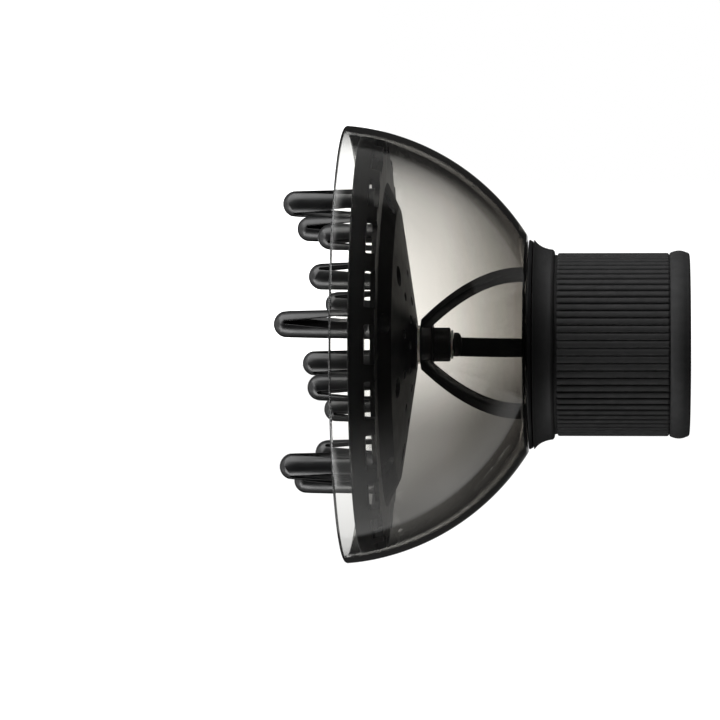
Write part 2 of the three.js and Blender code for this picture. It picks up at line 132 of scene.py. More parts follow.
def circle_arc(centre, radius, start, end, steps):
    """Points of a circle from one angle to another, where angle 0 points along the level axis."""
    angles = [start + (end - start) * i / steps for i in range(steps + 1)]
    return [(centre[0] + radius * math.cos(t), centre[1] + radius * math.sin(t)) for t in angles]


def bezier(start, control, end, steps):
    """Points of a quadratic curve."""
    points = []
    for i in range(steps + 1):
        t = i / steps
        weights = ((1 - t) ** 2, 2 * t * (1 - t), t**2)
        points.append(tuple(sum(w * p[k] for w, p in zip(weights, (start, control, end))) for k in (0, 1)))
    return points


# ---- Meshes ----


def skin(rows, closed=True):
    """Quads between rows of points. Each row is a loop, and closed joins the last row to the first."""
    width = len(rows[0])
    faces = []
    for i in range(len(rows) if closed else len(rows) - 1):
        for j in range(width):
            here, there = i * width, (i + 1) % len(rows) * width
            after = (j + 1) % width
            faces.append((here + j, here + after, there + after, there + j))
    return [point for row in rows for point in row], faces


def prism(low, high):
    """A solid between two loops of points."""
    points, faces = skin([low, high], closed=False)
    width = len(low)
    return points, [*faces, tuple(range(width)), tuple(range(width, 2 * width))]


def turned(outline, sides=192, closed=True, offset=0.0, azimuth=0.0):
    """An outline turned round an axis that lies offset from the centreline at an azimuth."""
    angles = [FULL_TURN * i / sides for i in range(sides)]
    rows = []
    for level, radius in outline:
        ring = [place(level, offset + radius * math.cos(t), azimuth, radius * math.sin(t)) for t in angles]
        rows.append(ring)
    return skin(rows, closed)


def mesh_of(shapes):
    """One mesh from several shapes, with shared corners welded and its faces turned outward."""
    points, faces = [], []
    for shape_points, shape_faces in shapes:
        faces += [tuple(len(points) + corner for corner in face) for face in shape_faces]
        points += shape_points
    mesh = bpy.data.meshes.new("shape")
    mesh.from_pydata(points, [], faces)
    work = bmesh.new()
    work.from_mesh(mesh)
    bmesh.ops.remove_doubles(work, verts=work.verts, dist=0.001 * MM)
    bmesh.ops.recalc_face_normals(work, faces=work.faces)
    work.to_mesh(mesh)
    work.free()
    return mesh


def new_object(name, data):
    """An object in the scene for a mesh or a camera."""
    made = bpy.data.objects.new(name, data)
    bpy.context.scene.collection.objects.link(made)
    return made


def with_modifiers(thing):
    """A new mesh of an object as its modifiers leave it."""
    bpy.context.view_layer.update()
    return bpy.data.meshes.new_from_object(thing.evaluated_get(bpy.context.evaluated_depsgraph_get()))


def carved(mesh, shapes, operation):
    """The mesh after other shapes are joined to it or cut from it."""
    target = new_object("target", mesh)
    tool = new_object("tool", mesh_of(shapes))
    modifier = target.modifiers.new("carve", "BOOLEAN")
    modifier.object = tool
    modifier.operation = operation
    modifier.solver = "EXACT"
    made = with_modifiers(target)
    for thing in (target, tool):
        bpy.data.objects.remove(thing)
    return made


def evenly_shaded(mesh):
    """The mesh shaded smooth, with the large faces' own normals kept, so that only the fillets look bent."""
    mesh.shade_smooth()
    mesh.set_sharp_from_angle(angle=SHARP_EDGE)
    target = new_object("target", mesh)
    target.modifiers.new("weigh", "WEIGHTED_NORMAL").keep_sharp = True
    made = with_modifiers(target)
    bpy.data.objects.remove(target)
    return made


def add_piece(node, mesh, material, body, matrix=None):
    """Shows a mesh in place of a CAD node."""
    if not mesh.materials:
        mesh.materials.append(material)
    made = new_object(node + "_moulded", mesh)
    if matrix is not None:
        made.matrix_world = matrix
    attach(made, body)
    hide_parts(node)


# ---- Materials ----


MOST_NOISE = (0.3, 0.7)  # nearly all of a noise's values lie between these


def new_material(name):
    """A material, its node tree and its shader."""
    made = bpy.data.materials.new(name)
    made.use_nodes = True
    return made, made.node_tree, made.node_tree.nodes["Principled BSDF"]


def object_coordinates(tree):
    """The place on the piece, in metres."""
    return tree.nodes.new("ShaderNodeTexCoord").outputs["Object"]


def noise(tree, scale, detail=3.0, roughness=0.5, stretch=(1, 1, 1)):
    """Noise fixed to the piece. The scale is in patches per metre."""
    mapping = tree.nodes.new("ShaderNodeMapping")
    mapping.inputs["Scale"].default_value = stretch
    tree.links.new(object_coordinates(tree), mapping.inputs["Vector"])
    texture = tree.nodes.new("ShaderNodeTexNoise")
    texture.inputs["Scale"].default_value = scale
    texture.inputs["Detail"].default_value = detail
    texture.inputs["Roughness"].default_value = roughness
    tree.links.new(mapping.outputs["Vector"], texture.inputs["Vector"])
    return texture.outputs["Fac"]


def spread(tree, value, source, target, smooth=False):
    """A value moved from one range of numbers to another."""
    node = tree.nodes.new("ShaderNodeMapRange")
    node.interpolation_type = "SMOOTHSTEP" if smooth else "LINEAR"
    for socket, number in zip(("From Min", "From Max", "To Min", "To Max"), (*source, *target)):
        node.inputs[socket].default_value = number
    tree.links.new(value, node.inputs["Value"])
    return node.outputs["Result"]


def combine(tree, operation, first, second):
    """A sum, product or other result of two values, where the second may be a plain number."""
    node = tree.nodes.new("ShaderNodeMath")
    node.operation = operation
    tree.links.new(first, node.inputs[0])
    if isinstance(second, (int, float)):
        node.inputs[1].default_value = second
    else:
        tree.links.new(second, node.inputs[1])
    return node.outputs["Value"]


def colour_between(tree, value, stops):
    """A colour looked up at a value, from stops of (position, colour)."""
    node = tree.nodes.new("ShaderNodeValToRGB")
    ramp = node.color_ramp
    while len(ramp.elements) < len(stops):
        ramp.elements.new(0.5)
    for element, (position, colour) in zip(ramp.elements, stops):
        element.position = position
        element.color = (*colour, 1)
    tree.links.new(value, node.inputs["Fac"])
    return node.outputs["Color"]


def add_bump(tree, shader, height, depth):
    """Relief on the shader, in metres deep."""
    node = tree.nodes.new("ShaderNodeBump")
    node.inputs["Distance"].default_value = depth
    tree.links.new(height, node.inputs["Height"])
    tree.links.new(node.outputs["Normal"], shader.inputs["Normal"])


def radius_of(tree):
    """Distance from the centreline, in metres."""
    flat = tree.nodes.new("ShaderNodeVectorMath")
    flat.operation = "MULTIPLY"
    flat.inputs[1].default_value = (0, 1, 1)
    tree.links.new(object_coordinates(tree), flat.inputs[0])
    length = tree.nodes.new("ShaderNodeVectorMath")
    length.operation = "LENGTH"
    tree.links.new(flat.outputs["Vector"], length.inputs[0])
    return length.outputs["Value"]


def level_of(tree):
    """Distance along the centreline from the sleeve's open end, in metres."""
    axes = tree.nodes.new("ShaderNodeSeparateXYZ")
    tree.links.new(object_coordinates(tree), axes.inputs["Vector"])
    return combine(tree, "MULTIPLY", axes.outputs["X"], -1.0)


def moulded_plastic(name, dark, light, roughness, specular, grain_depth):
    """Moulded plastic: cloudy colour, uneven gloss and the fine grain of the tool."""
    made, tree, shader = new_material(name)
    cloud = noise(tree, 90)
    tree.links.new(colour_between(tree, cloud, [(0.35, dark), (0.7, light)]), shader.inputs["Base Color"])
    smudge = noise(tree, 160, detail=5)
    tree.links.new(spread(tree, smudge, MOST_NOISE, roughness), shader.inputs["Roughness"])
    shader.inputs["Specular IOR Level"].default_value = specular
    add_bump(tree, shader, noise(tree, 2600, detail=2), grain_depth)
    return made


def silicone(valley, crest):
    """Soft rubber: colour darker in the grooves and lighter towards the crests, flow marks along the ribs and
    fine dust.
    """
    made, tree, shader = new_material("sleeve_silicone")
    # Colour darker in the grooves and lighter towards the crests, set by the distance from the centreline.
    height = spread(tree, radius_of(tree), (valley * MM, crest * MM), (0, 1))
    marks = combine(tree, "MULTIPLY", noise(tree, 500, detail=4, stretch=(0.08, 1, 1)), 0.5)
    tone = combine(tree, "ADD", combine(tree, "MULTIPLY", height, 0.6), marks)
    stops = [(0.1, (0.005, 0.005, 0.0053)), (0.9, (0.016, 0.016, 0.0163))]
    tree.links.new(colour_between(tree, tone, stops), shader.inputs["Base Color"])
    dust = noise(tree, 300, detail=5)
    tree.links.new(spread(tree, dust, MOST_NOISE, (0.66, 0.8)), shader.inputs["Roughness"])
    shader.inputs["Specular IOR Level"].default_value = 0.28
    add_bump(tree, shader, noise(tree, 2200, detail=3), 0.02 * MM)
    return made


# The dye darkens light along its path in the wall, so the bowl is darkest where its wall is seen edge-on.
DYE_COLOUR = (0.5, 0.49, 0.46, 1)
DYE_DENSITY = 75
SMOKE = [
    (0.0, (0.43, 0.41, 0.38)),
    (0.2, (0.60, 0.585, 0.55)),
    (0.45, (0.90, 0.88, 0.845)),
    (0.7, (1.0, 0.985, 0.95)),
    (1.0, (1.0, 1.0, 0.985)),
]


def smoked_plastic(neck, rim):
    """Transparent plastic, smoky at the neck and nearly clear at the rim."""
    made, tree, shader = new_material("smoked_plastic")
    along = spread(tree, level_of(tree), (neck * MM, rim * MM), (0, 1))
    swirl = spread(tree, noise(tree, 25, detail=2), MOST_NOISE, (-0.015, 0.015))
    tint = colour_between(tree, combine(tree, "ADD", along, swirl), SMOKE)
    tree.links.new(tint, shader.inputs["Base Color"])
    shader.inputs["Transmission Weight"].default_value = 1.0
    shader.inputs["IOR"].default_value = 1.49
    haze = spread(tree, noise(tree, 60, detail=4), (0.35, 0.7), (0.0, 0.012))
    tree.links.new(haze, shader.inputs["Roughness"])
    dye = tree.nodes.new("ShaderNodeVolumeAbsorption")
    dye.inputs["Color"].default_value = DYE_COLOUR
    dye.inputs["Density"].default_value = DYE_DENSITY
    tree.links.new(dye.outputs["Volume"], tree.nodes["Material Output"].inputs["Volume"])
    return made


def acetal():
    """White bearing plastic, slightly waxy."""
    made, tree, shader = new_material("white_plastic")
    stops = [(0.3, (0.66, 0.65, 0.61)), (0.7, (0.74, 0.73, 0.69))]
    tree.links.new(colour_between(tree, noise(tree, 400), stops), shader.inputs["Base Color"])
    tree.links.new(spread(tree, noise(tree, 900), MOST_NOISE, (0.35, 0.5)), shader.inputs["Roughness"])
    shader.inputs["Subsurface Weight"].default_value = 0.1
    shader.inputs["Subsurface Scale"].default_value = 0.5 * MM
    add_bump(tree, shader, noise(tree, 3000), 0.008 * MM)
    return made


def steel():
    """Plated steel with fine turning marks."""
    made, tree, shader = new_material("nut_steel")
    stops = [(0.3, (0.50, 0.50, 0.51)), (0.7, (0.62, 0.62, 0.63))]
    tree.links.new(colour_between(tree, noise(tree, 700), stops), shader.inputs["Base Color"])
    shader.inputs["Metallic"].default_value = 1.0
    marks = noise(tree, 3000, detail=2, stretch=(12, 1, 1))
    tree.links.new(spread(tree, marks, MOST_NOISE, (0.22, 0.42)), shader.inputs["Roughness"])
    add_bump(tree, shader, marks, 0.006 * MM)
    return made


# ---- The bowl's arc, which the finger plate's band follows ----

BOWL_ARC_RADIUS = 81.4
BOWL_WALL = 2
bowl_back, bowl_rim, bowl_radius = span("bowl")


def arc_centre():
    """The centre of the circle through the bowl's outer edges at its back and its rim."""
    start = Vector((bowl_back, radii_at("bowl", bowl_back)[1]))
    chord = Vector((bowl_rim, bowl_radius)) - start
    rise = math.sqrt(BOWL_ARC_RADIUS**2 - (chord.length / 2) ** 2)
    return start + chord / 2 + Vector((chord.y, -chord.x)).normalized() * rise


BOWL_CENTRE = arc_centre()


def bowl_radius_at(level, inset):
    """Radius at a level of a face that is inset from the bowl's outer one."""
    reach = BOWL_ARC_RADIUS - inset
    return BOWL_CENTRE.y + math.sqrt(reach**2 - (level - BOWL_CENTRE.x) ** 2)


def bowl_arc(inset, start, end, steps):
    """Points of the bowl's face, inset from its outer one, between two levels."""
    radius = BOWL_ARC_RADIUS - inset
    angles = [math.acos((level - BOWL_CENTRE.x) / radius) for level in (start, end)]
    return circle_arc(BOWL_CENTRE, radius, *angles, steps)


# ---- Housing ----

SLEEVE = {
    "lip_edge": 0.5,
    "lip_front": 1.4,
    "lip_slope": (0.4, 0.15),  # a point of the slope in front of the lip, in level and radius
    "lip_foot": 3,  # level where that slope meets the bore
    "bead_corner": 1.1,
    "bead_crown": 0.6,  # rise of the bead's middle over its edges
    "bead_front": 6.8,
    "bead_shoulder": 0.5,
    "groove_end": 0.15,  # rise of the grooves' ends at the bead
    "edge": 0.3,
}
SLEEVE_RIBS = {
    "count": 76,
    "samples": 8,
    "crest": 31.2,
    "valley": 30.5,
    "lead": 0.1,  # from the bead to the first point of the ribs
    "end": 44.8,
    "fade": 0.4,
}


def rib_height(phase):
    """Share of a rib's full height at a phase, which is 0 on the crest and a half in the groove."""
    return 1 - abs(2 * phase) ** 4


def bead_outline(back, lip, bead):
    """The sleeve's end from its lip round the corner, and over the bead."""
    edge, shoulder, corner = SLEEVE["lip_edge"], SLEEVE["bead_shoulder"], SLEEVE["bead_corner"]
    front, side = SLEEVE["bead_front"], bead - SLEEVE["bead_crown"]
    end = circle_arc((corner, side - corner), corner, math.pi, math.pi / 2, 4)
    crown = bezier((corner, side), (front / 2, bead + SLEEVE["bead_crown"]), (front - shoulder, side), 8)
    return [
        (edge, lip),
        (edge / 5, lip + edge / 5),
        (back, lip + edge),
        *end,
        *crown[1:],
        (front - shoulder / 5, side - 0.6 * shoulder),
    ]


def ribbed_outline():
    """The grooves' bottom as (level, radius, share of the ribs' height), with ribs that fade in and out."""
    valley, fade, end = SLEEVE_RIBS["valley"], SLEEVE_RIBS["fade"], SLEEVE_RIBS["end"]
    bead_front = SLEEVE["bead_front"]
    start = bead_front + SLEEVE_RIBS["lead"]
    return [
        (bead_front, valley + SLEEVE["groove_end"], 0),
        (start, valley, 0.2),
        (start + fade, valley, 0.9),
        (start + 2 * fade, valley, 1),
        ((start + end) / 2, valley, 1),
        (end - 2 * fade, valley, 1),
        (end - fade, valley, 0.9),
        (end, valley, 0),
    ]


def sleeve_shape():
    """Sleeve: rounded bead with an inside lip, the ribs, and the plain stretch under the clamp ring."""
    back, front, bead = span("sleeve")
    lip = radii_at("sleeve", back)[0]
    bore, plain = radii_at("sleeve", front)
    edge, lip_front = SLEEVE["edge"], SLEEVE["lip_front"]
    tail = [
        (SLEEVE_RIBS["end"] + SLEEVE_RIBS["fade"], plain),
        (front - edge, plain),
        (front, plain - edge),
        (front, bore + edge),
        (front - edge, bore),
        (SLEEVE["lip_foot"], bore),
        (lip_front + SLEEVE["lip_slope"][0], lip + SLEEVE["lip_slope"][1]),
        (lip_front, lip),
    ]
    outline = [(*point, 0) for point in bead_outline(back, lip, bead)]
    outline += ribbed_outline()
    outline += [(*point, 0) for point in tail]
    samples = SLEEVE_RIBS["samples"]
    count = SLEEVE_RIBS["count"] * samples
    depth = SLEEVE_RIBS["crest"] - SLEEVE_RIBS["valley"]
    ribs = [depth * rib_height((i / samples + 0.5) % 1 - 0.5) for i in range(count)]
    rows = []
    for level, radius, share in outline:
        rows.append([place(level, radius + share * rib, FULL_TURN * i / count) for i, rib in enumerate(ribs)])
    return skin(rows)


CLAMP = {
    "bore_edge": 0.2,
    "back_edge": 0.35,
    "back_bend": (0.12, 0.05),  # the rounded back edge's middle, in level and radius from its corner
    "shoulder": (0.6, 0.5),  # where the flare starts, from the same corner
    "flare_bend": (0.67, 0.15),  # the flare's control point, as shares of its length and its rise
    "rim_start": (0.25, 0.12),  # where the flare ends, in level and radius from the rim's corner
    "rim_bend": (0.07, 0.02),
    "rim_edge": 0.2,
}


def clamp_ring_shape():
    """Flared ring over the sleeve's end."""
    back, front, flare = span("clamp_ring")
    bore, edge = radii_at("clamp_ring", back)
    bore_edge = CLAMP["bore_edge"]
    rim = Vector((front, flare))
    bend = CLAMP["flare_bend"]
    start = (back + CLAMP["shoulder"][0], edge + CLAMP["shoulder"][1])
    control = (start[0] + bend[0] * (front - start[0]), start[1] + bend[1] * (flare - start[1]))
    sweep = bezier(start, control, tuple(rim - Vector(CLAMP["rim_start"])), 14)
    return turned(
        [
            (back, bore + bore_edge),
            (back, edge - CLAMP["back_edge"]),
            (back + CLAMP["back_bend"][0], edge - CLAMP["back_bend"][1]),
            *sweep,
            tuple(rim - Vector(CLAMP["rim_bend"])),
            (front, flare - CLAMP["rim_edge"]),
            (front, bore + bore_edge),
            (front - bore_edge, bore),
            (back + bore_edge, bore),
        ]
    )


def neck_ring_shape():
    """Neck ring: spigot in the sleeve, flange behind the bowl and collar through the bowl's base."""
    back, front, flange = span("neck_ring")
    bore, spigot = radii_at("neck_ring", back)
    collar_bore, collar = radii_at("neck_ring", front)
    flange_back = span("sleeve")[1] + GAP
    flange_front = bowl_back - GAP
    flange_edge = radii_at("neck_ring", flange_back)[1]
    return turned(
        rounded(
            [
                (back, bore, 0.3),
                (back, spigot, 0.5),
                (flange_back, spigot),
                (flange_back, flange_edge, 0.2),
                (flange_front, flange, 0.3),
                (flange_front, collar),
                (front, collar, 0.4),
                (front, collar_bore, 0.3),
                (flange_front, collar_bore),
                (flange_front, bore, 0.3),
            ]
        )
    )


BOWL_LIP = {"radius": 0.7, "facet": 0.1, "widening": 0.08}  # the facet keeps the arc's shading off the lip


def bowl_shape():
    """Smoked bowl: outer and inner arc, rounded rim, and a flat base ring round the collar."""
    hole = radii_at("bowl", bowl_back)[0]
    base_front = bowl_back + BOWL_WALL
    arc_start = base_front + BOWL_WALL
    base = rounded(
        [
            (arc_start, bowl_radius_at(arc_start, BOWL_WALL)),
            (base_front, bowl_radius_at(base_front, BOWL_WALL), 1.2),
            (base_front, hole, 0.3),
            (bowl_back, hole, 0.2),
        ]
    )
    lip, widening = BOWL_LIP["radius"], BOWL_LIP["widening"]
    rim_outer = bowl_radius_at(bowl_rim, 0)
    rim_inner = bowl_radius_at(bowl_rim, BOWL_WALL)
    rim = rounded(
        [
            (bowl_rim - lip, rim_outer - widening),
            (bowl_rim, rim_outer, lip),
            (bowl_rim, rim_inner, lip),
            (bowl_rim - lip, rim_inner - widening),
        ]
    )
    arc_end = bowl_rim - lip - BOWL_LIP["facet"]
    outer = bowl_arc(0, bowl_back, arc_end, 64)
    inner = bowl_arc(BOWL_WALL, arc_end, arc_start, 60)
    return turned([*outer, *rim[1:-1], *inner, *base[1:]], sides=256)


SPIDER_ARMS = {
    "count": 3,
    "azimuth": math.radians(62.5),
    "width": 6.6,
    "thickness": 2.9,
    "edge": 0.8,
    "root": 0.7,  # how far the arm starts inside the ring
    "straight": 1.7,  # from the ring's front to the bend
    "bend": 0.46,  # the bend's control point, as a share of its length
    "hub_reach": 8.6,
}
HUB = {"boss_radius": 5.8, "block_radius": 8.9, "block_length": 4.1}
BUSH_FLANGE = 0.8


def arm_shape(azimuth, ring_radius, ring_front, hub_front):
    """A spider arm: a strip with rounded edges that leaves the ring straight and bends in to the hub."""
    start = ring_front + SPIDER_ARMS["straight"]
    end = hub_front - GAP
    control = (start + SPIDER_ARMS["bend"] * (end - start), ring_radius)
    outer = bezier((start, ring_radius), control, (end, SPIDER_ARMS["hub_reach"]), 24)
    outer.insert(0, (bowl_back + SPIDER_ARMS["root"], ring_radius))
    half, depth, edge = SPIDER_ARMS["width"] / 2, SPIDER_ARMS["thickness"], SPIDER_ARMS["edge"]
    section = rounded([(-half, 0, edge), (half, 0, edge), (half, depth, edge), (-half, depth, edge)])
    rows = []
    for i, point in enumerate(outer):
        ahead = Vector(outer[min(i + 1, len(outer) - 1)]) - Vector(outer[max(i - 1, 0)])
        inward = Vector((ahead.y, -ahead.x)).normalized()
        row = []
        for side, sunk in section:
            level, radius = Vector(point) + inward * sunk
            row.append(place(level, radius, azimuth, side))
        rows.append(row)
    points, faces = skin(rows, closed=False)
    width, last = len(section), len(points) - len(section)
    return points, [*faces, tuple(range(width)), tuple(range(last, last + width))]


def spider_ring(ring_front, flange):
    """The spider's tube inside the neck ring, with its flange in front of the collar."""
    back = span("spider")[0]
    bore, tube = radii_at("spider", back)
    return turned(
        rounded(
            [
                (back, bore, 0.4),
                (back, tube, 0.4),
                (bowl_back, tube),
                (bowl_back, flange, 0.2),
                (ring_front, flange, 0.4),
                (ring_front, bore, 0.4),
            ]
        )
    )


def spider_hub():
    """The hub that holds the bush: a boss behind and a wider block in front."""
    bush_back, front, bush_flange = span("bearing_bush")
    back = bush_back - GAP
    bush = radii_at("bearing_bush", bush_back)[1]
    boss, block = HUB["boss_radius"], HUB["block_radius"]
    block_back = front - HUB["block_length"]
    seat = front - BUSH_FLANGE - GAP
    return turned(
        rounded(
            [
                (back, bush + GAP),
                (back, boss, 0.5),
                (block_back, boss, 0.6),
                (block_back, block, 0.6),
                (front, block, 0.5),
                (front, bush_flange + GAP),
                (seat, bush_flange + GAP),
                (seat, bush + GAP),
            ]
        ),
        sides=96,
    )


def spider_mesh():
    """Spider: flanged ring, three arms and the hub."""
    ring_front = span("neck_ring")[1]
    flange = radii_at("neck_ring", ring_front)[0] - GAP
    hub_front = span("bearing_bush")[1]
    arms = []
    for i in range(SPIDER_ARMS["count"]):
        azimuth = SPIDER_ARMS["azimuth"] + FULL_TURN * i / SPIDER_ARMS["count"]
        arms.append(arm_shape(azimuth, flange, ring_front, hub_front))
    return carved(mesh_of([spider_ring(ring_front, flange), spider_hub()]), arms, "UNION")


def bush_shape():
    """Flanged bush in the hub."""
    back, front, flange = span("bearing_bush")
    bore, body = radii_at("bearing_bush", back)
    return turned(
        rounded(
            [
                (back, bore, 0.2),
                (back, body, 0.3),
                (front - BUSH_FLANGE, body),
                (front - BUSH_FLANGE, flange, 0.15),
                (front, flange, 0.2),
                (front, bore, 0.2),
            ]
        ),
        sides=96,
    )


# ---- Finger head ----

AXLE_RADIUS = 2.0


def axle_pin_shape():
    """Pin with a domed head behind the hub."""
    back, front, head = span("axle_pin")
    head_front = span("rear_washer")[0] - GAP
    head_rim = 1.0  # the length of the head's round side
    dome = bezier((back, 0), (back, head), (head_front - head_rim, head), 10)
    edge = rounded(
        [
            (back, head),
            (head_front, head, 0.25),
            (head_front, AXLE_RADIUS),
            (front, AXLE_RADIUS, 0.4),
            (front, 0),
        ]
    )
    return turned([*dome, *edge[1:]], sides=96, closed=False)


def washer_shape(node):
    """Flat washer with broken edges."""
    back, front, outer = span(node)
    bore = radii_at(node, back)[0]
    corners = [(back, bore), (back, outer), (front, outer), (front, bore)]
    return turned(rounded([(*corner, 0.15) for corner in corners]), sides=96)


PLATE = {
    "wall": 1.6,
    "band_wall": 2.0,
    "hub_radius": 9.0,
    "crease_radius": 46.8,
    "crease_lift": 5.9,
    "step_radius": 55.3,
    "edge_lift": 9.9,
    "clearance": 1.0,
    "boss_radius": 6.6,
    "boss_lift": 4.2,
}
SEAT = {"radius": 5.2, "edge": 0.35}
SPIGOT_RADIUS = 3.2
WINDOWS = {
    "count": 24,
    "angle": math.radians(11),
    "inset": 2.4,
    "back": 102.0,
    "front": 106.0,
    "corner": 0.6,
}
VENT_RADIUS = 1.6
VENT_RINGS = [(17.0, 0.0), (26.5, math.radians(7.5))]
VENTS_IN_A_RING = 12
plate_back, plate_front, _ = span("finger_plate")


def plate_back_at(radius):
    """Level of the dish's back face: flat centre, shallow cone, steep cone and flat outer ring."""
    hub, crease, step = PLATE["hub_radius"], PLATE["crease_radius"], PLATE["step_radius"]
    if radius <= crease:
        return plate_back + PLATE["crease_lift"] * max(0, radius - hub) / (crease - hub)
    steep = (PLATE["edge_lift"] - PLATE["crease_lift"]) / (step - crease)
    return plate_back + min(PLATE["edge_lift"], PLATE["crease_lift"] + steep * (radius - crease))


def dish_shape():
    """The dish and its band as one turned shell."""
    wall, band_wall = PLATE["wall"], PLATE["band_wall"]
    bore = radii_at("finger_plate", plate_back)[0]
    inset = BOWL_WALL + PLATE["clearance"]
    edge_level = plate_back + PLATE["edge_lift"]
    edge_radius = bowl_radius_at(edge_level, inset)
    boss = PLATE["boss_radius"]
    boss_front = plate_back + PLATE["boss_lift"]
    bends = [(PLATE["hub_radius"], 1.2), (PLATE["crease_radius"], 0.8), (PLATE["step_radius"], 1.0)]
    behind = [(plate_back_at(radius), radius, rounding) for radius, rounding in bends]
    in_front = [(level + wall, radius, rounding) for level, radius, rounding in reversed(behind)]
    band = bowl_arc(inset, edge_level, plate_front, 6)
    return turned(
        rounded(
            [
                (plate_back, bore, 0.2),
                *behind,
                (edge_level, edge_radius, 0.8),
                *band[1:-1],
                (*band[-1], 0.5),
                (plate_front, bowl_radius_at(plate_front, inset + band_wall), 0.5),
                (edge_level + wall, edge_radius - band_wall, 1.0),
                *in_front,
                (plate_back + wall, boss, 0.4),
                (boss_front, boss, 0.4),
                (boss_front, bore, 0.2),
            ]
        ),
        sides=240,
    )


FINGERS_IN_A_RING = 6


def finger_spots():
    """The foot of each finger: its node, level, radius and azimuth."""
    rings = ("outer_finger", "inner_finger")
    nodes = [f"{ring}_{i + 1}" for ring in rings for i in range(FINGERS_IN_A_RING)]
    return [(node, *foot_of(node)) for node in nodes]


def seat_shape(level, radius, azimuth):
    """Round seat under a finger, with a softened top edge. Its foot lies inside the dish's wall."""
    top = level + FINGER["spigot"] - GAP
    seat = SEAT["radius"]
    crown = rounded([(plate_back, 0), (plate_back, seat), (top, seat, SEAT["edge"]), (top, 0)])
    points, faces = turned(crown, 48, closed=False, offset=radius, azimuth=azimuth)
    for point in points:
        if -point.x / MM < plate_back + SAME_LEVEL:
            point.x = -(plate_back_at(point.yz.length / MM) + PLATE["wall"] / 2) * MM
    return points, faces


def rod(back, front, radius):
    """Outline of a plain rod, to cut with."""
    return [(back, 0), (back, radius), (front, radius), (front, 0)]


def drill_shape(radius, offset, azimuth):
    """A round cutter right through the dish."""
    outline = rod(plate_back - PAST, plate_front + PAST, radius)
    return turned(outline, 40, closed=False, offset=offset, azimuth=azimuth)


def window_shape(azimuth):
    """Cutter for one rim window: a rounded opening at the corner of dish and band."""
    outer = bowl_radius_at(WINDOWS["front"], 0)
    inner = outer - BOWL_WALL - PLATE["clearance"] - PLATE["band_wall"] - WINDOWS["inset"]
    half = inner * math.tan(WINDOWS["angle"] / 2)
    back, front, corner = WINDOWS["back"], WINDOWS["front"], WINDOWS["corner"]
    outline = rounded(
        [(back, -half, corner), (back, half, corner), (front, half, corner), (front, -half, corner)]
    )
    low, high = [[place(level, reach, azimuth, side) for level, side in outline] for reach in (inner, outer)]
    return prism(low, high)


def finger_plate_mesh():
    """Finger plate: the dish with its seats, their bores, two rings of vents and the rim windows."""
    spots = finger_spots()
    seats = [seat_shape(*spot[1:]) for spot in spots]
    cutters = [drill_shape(SPIGOT_RADIUS + PLAY, radius, azimuth) for _, _, radius, azimuth in spots]
    for radius, start in VENT_RINGS:
        for i in range(VENTS_IN_A_RING):
            cutters.append(drill_shape(VENT_RADIUS, radius, start + FULL_TURN * i / VENTS_IN_A_RING))
    for i in range(WINDOWS["count"]):
        cutters.append(window_shape(FULL_TURN * i / WINDOWS["count"]))
    joined = carved(mesh_of([dish_shape()]), seats, "UNION")
    return carved(joined, cutters, "DIFFERENCE")


HUB_CAP = {
    "wall": 1.3,
    "edge": 1.6,
    "edge_reach": 2.9,
    "chamfer": 0.25,
    "inner_chamfer": 0.5,
    "dimple": 0.25,
    "dimple_radius": 5.2,
    "dimple_bend": (0.6, 4.2),  # share of the dimple's depth, and radius
    "dimple_floor": 3,
}


def hub_cap_shape():
    """Cap over the nut, with a rounded front edge and a shallow dimple."""
    back, front, radius = span("hub_cap")
    edge, chamfer, inner_chamfer = HUB_CAP["edge"], HUB_CAP["chamfer"], HUB_CAP["inner_chamfer"]
    dimple, (bend_share, bend_radius) = HUB_CAP["dimple"], HUB_CAP["dimple_bend"]
    floor = front - HUB_CAP["wall"] - dimple
    bore = radius - HUB_CAP["wall"]
    corner = bezier((front - edge, radius), (front, radius), (front, radius - HUB_CAP["edge_reach"]), 8)
    return turned(
        [
            (floor, 0),
            (floor, bore - inner_chamfer),
            (floor - inner_chamfer, bore),
            (back, bore),
            (back, radius - chamfer),
            (back + chamfer, radius),
            *corner,
            (front, HUB_CAP["dimple_radius"]),
            (front - dimple * bend_share, bend_radius),
            (front - dimple, HUB_CAP["dimple_floor"]),
            (front - dimple, 0),
        ],
        sides=128,
        closed=False,
    )


NUT = {"bore_edge": 0.15, "chamfer": 0.3, "clear": 0.1}  # clear: from the hexagon's corners to the blank


def nut_mesh():
    """Hexagon nut, its corners chamfered by a cone at both faces."""
    back, front, corner_radius = span("axle_nut")
    flat = corner_radius * math.cos(math.pi / 6)
    bore = AXLE_RADIUS + PLAY
    chamfer, rim = NUT["chamfer"], corner_radius + NUT["clear"]
    blank = rounded(
        [
            (back, bore, NUT["bore_edge"]),
            (back, flat),
            (back + chamfer, rim),
            (front - chamfer, rim),
            (front, flat),
            (front, bore, NUT["bore_edge"]),
        ]
    )
    hexagon = turned(rod(back - PAST, front + PAST, corner_radius), sides=6, closed=False)
    return carved(mesh_of([turned(blank, sides=96)]), [hexagon], "INTERSECT")


